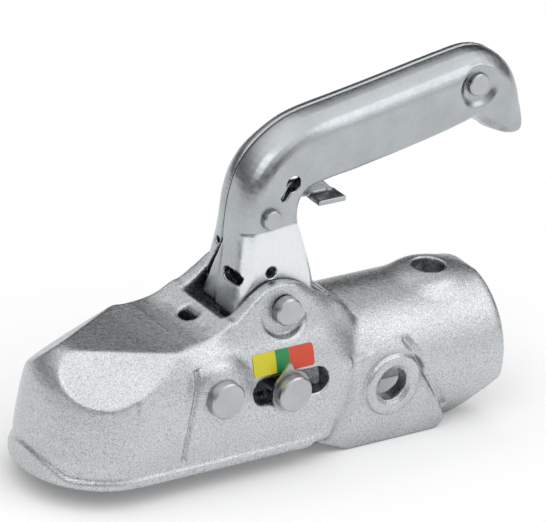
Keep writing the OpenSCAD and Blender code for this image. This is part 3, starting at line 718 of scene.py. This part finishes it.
def combined(tree, operation, *values):
    """The result of a maths node; each value is a socket or a number."""
    made = tree.nodes.new("ShaderNodeMath")
    made.operation = operation
    for socket, value in zip(made.inputs, values):
        if isinstance(value, bpy.types.NodeSocket):
            tree.links.new(value, socket)
        else:
            socket.default_value = value
    return made.outputs[0]


def emission_for_sight(tree, shader, glow):
    """Adds a glow that the camera and mirror-like and glass-like rays see. It lights no dull surface."""
    path = tree.nodes.new("ShaderNodeLightPath")
    either = combined(tree, "MAXIMUM", path.outputs["Is Camera Ray"], path.outputs["Is Glossy Ray"])
    seen = combined(tree, "MAXIMUM", either, path.outputs["Is Transmission Ray"])
    light = tree.nodes.new("ShaderNodeEmission")
    tree.links.new(combined(tree, "MULTIPLY", seen, glow), light.inputs["Strength"])
    both = tree.nodes.new("ShaderNodeAddShader")
    tree.links.new(shader, both.inputs[0])
    tree.links.new(light.outputs[0], both.inputs[1])
    return both.outputs[0]


def make_floor():
    """A plain pale floor at the height of the part's lowest point."""
    low = size_before[0][2]
    mesh = bpy.data.meshes.new("floor")
    corners = (-1, -1), (1, -1), (1, 1), (-1, 1)
    mesh.from_pydata([(x * FLOOR_REACH, y * FLOOR_REACH, low) for x, y in corners], [], [(0, 1, 2, 3)])
    floor = bpy.data.objects.new("floor", mesh)
    scene.collection.objects.link(floor)
    paper = bpy.data.materials.new("floor_paper")
    paper.use_nodes = True
    tree = paper.node_tree
    surface = tree.nodes["Principled BSDF"]
    surface.inputs["Base Color"].default_value = (PAPER_GREY, PAPER_GREY, PAPER_GREY, 1)
    surface.inputs["Roughness"].default_value = PAPER_ROUGHNESS
    surface.inputs["Specular IOR Level"].default_value = PAPER_SHINE
    output = tree.nodes["Material Output"]
    tree.links.new(emission_for_sight(tree, surface.outputs[0], PAPER_GLOW), output.inputs["Surface"])
    mesh.materials.append(paper)


# Lamps: name, place, what they point at, width and height in metres, and power in watts.
LAMPS = (
    ("left_box", (-1.2, -0.7, 1.3), (0.08, 0, 0.05), (1.0, 1.0), 4),
    ("right_box", (1.0, -0.8, 1.2), (0.1, 0, 0.03), (1.1, 1.1), 3),
)


def area_lamp(name, place, target, size, power):
    """A soft box that points at a place on the part."""
    data = bpy.data.lights.new(name, "AREA")
    data.shape = "RECTANGLE"
    data.size, data.size_y = size
    data.energy = power
    lamp = bpy.data.objects.new(name, data)
    aim = Vector(target) - Vector(place)
    lamp.location = place
    lamp.rotation_euler = aim.to_track_quat("-Z", "Y").to_euler()
    scene.collection.objects.link(lamp)


# Brightness of the room by height of the direction: the sine of its elevation, and the level.
ROOM_LEVELS = ((0.0, 0.16), (0.28, 0.2), (0.42, 0.36), (0.58, 0.75), (0.8, 1.25), (1.0, 1.3))
# Sides of the room: direction, closeness to it at which the change starts and ends, and levels there.
# The first multiplies the room's brightness, the second adds to it.
DARK_SIDE = Vector((0.56, 0.74, 0.32)).normalized(), (0.84, 0.98), (1.0, 0.15)
LIGHT_SIDE = Vector((0.55, -0.83, 0.12)).normalized(), (0.78, 0.95), (0.0, 0.75)


def lobe(tree, place, side, span, levels):
    """A value that goes from one level to another as a direction comes near a side of the room."""
    toward = tree.nodes.new("ShaderNodeVectorMath")
    toward.operation = "DOT_PRODUCT"
    toward.inputs[1].default_value = side
    tree.links.new(place, toward.inputs[0])
    shade = tree.nodes.new("ShaderNodeMapRange")
    for name, value in zip(("From Min", "From Max", "To Min", "To Max"), span + levels):
        shade.inputs[name].default_value = value
    tree.links.new(toward.outputs["Value"], shade.inputs["Value"])
    return shade.outputs["Result"]


def make_light():
    """A room that is dark low down and behind, and pale above and at the right front, and soft boxes."""
    world = bpy.data.worlds.new("studio")
    scene.world = world
    world.use_nodes = True
    tree = world.node_tree
    background = tree.nodes["Background"]
    place = tree.nodes.new("ShaderNodeTexCoord")
    height = tree.nodes.new("ShaderNodeSeparateXYZ")
    tree.links.new(place.outputs["Generated"], height.inputs[0])
    level = tree.nodes.new("ShaderNodeValToRGB")
    fill_ramp(level, ROOM_LEVELS)
    tree.links.new(height.outputs["Z"], level.inputs["Fac"])
    dark = lobe(tree, place.outputs["Generated"], *DARK_SIDE)
    light = lobe(tree, place.outputs["Generated"], *LIGHT_SIDE)
    room = combined(tree, "MULTIPLY_ADD", level.outputs["Color"], dark, light)
    background.inputs["Color"].default_value = (1, 1, 1, 1)
    tree.links.new(room, background.inputs["Strength"])
    for lamp in LAMPS:
        area_lamp(*lamp)


# Materials: colour, roughness, and the strength of the grain where it is stronger than on sheet.
PRESSED = (0.455, 0.48, 0.495), 0.27
# The lighter colour of the painted sheen on the near foot's panel.
PAINTED_SHEEN_COLOUR = 0.76, 0.79, 0.81
PINS = (0.5, 0.52, 0.53), 0.33, 0.2
FITTINGS = (0.55, 0.58, 0.60), 0.34, 0.2
SPRING = (0.30, 0.31, 0.33), 0.38
# How the skins are rounded: rounds and softness of each pass.
CASTING_PASSES = (10, casting_softness), (230, valley_softness)
SHELL_PASSES = (3, evenly), (7, shell_softness)
CATCH_PASSES = ((6, evenly),)

place_camera()
make_floor()
make_light()
cast = zinc_cast()
pressed = zinc_sheet("zinc_pressed", *PRESSED)
# The shells carry the painted sheen on the near side of the foot.
shells = zinc_sheet("zinc_shells", *PRESSED, painted_sheen=PAINTED_SHEEN_COLOUR)
pins = zinc_sheet("zinc_pins", *PINS)
fittings = zinc_sheet("zinc_fittings", *FITTINGS)
spring = zinc_sheet("spring_steel", *SPRING)
printed = sticker()

casting = skinned("casting", "housing", CASTING_VOXEL, CASTING_PASSES,
                  first=carve_valley, last=cast_relief, join=SILL)
dress(casting, cast)
dress(laid_sticker(casting), printed)
near = skinned("near_pressing", "handle_near_shell", SHELL_VOXEL, SHELL_PASSES,
               last=shell_relief, join=TONGUE)
dress(near, shells)
far = skinned("far_pressing", "handle_far_shell", SHELL_VOXEL, SHELL_PASSES, last=shell_relief)
dress(far, shells)
dress(main_coil(), spring)
dress(skinned("catch_tab", "safety_catch", CATCH_VOXEL, CATCH_PASSES), pressed)
for names, material in (
    (("housing", "ball_clamp"), cast),
    (("handle_near_shell", "handle_far_shell"), shells),
    (("safety_catch", "gauge_pointer"), pressed),
    (("pivot_pin", "guide_pin", "gauge_pin", "catch_pin", "end_rivet"), pins),
    (("pivot_ring", "guide_ring", "gauge_ring", "gauge_washer", "near_spacer", "far_spacer",
      "end_spacer", "spring_plate", "spring_guide", "drive_cam"), fittings),
    (("main_spring", "catch_spring"), spring),
    (("gauge_label",), printed),
):
    for name in names:
        dress(nodes[name], material)

scene.view_settings.view_transform = "Standard"
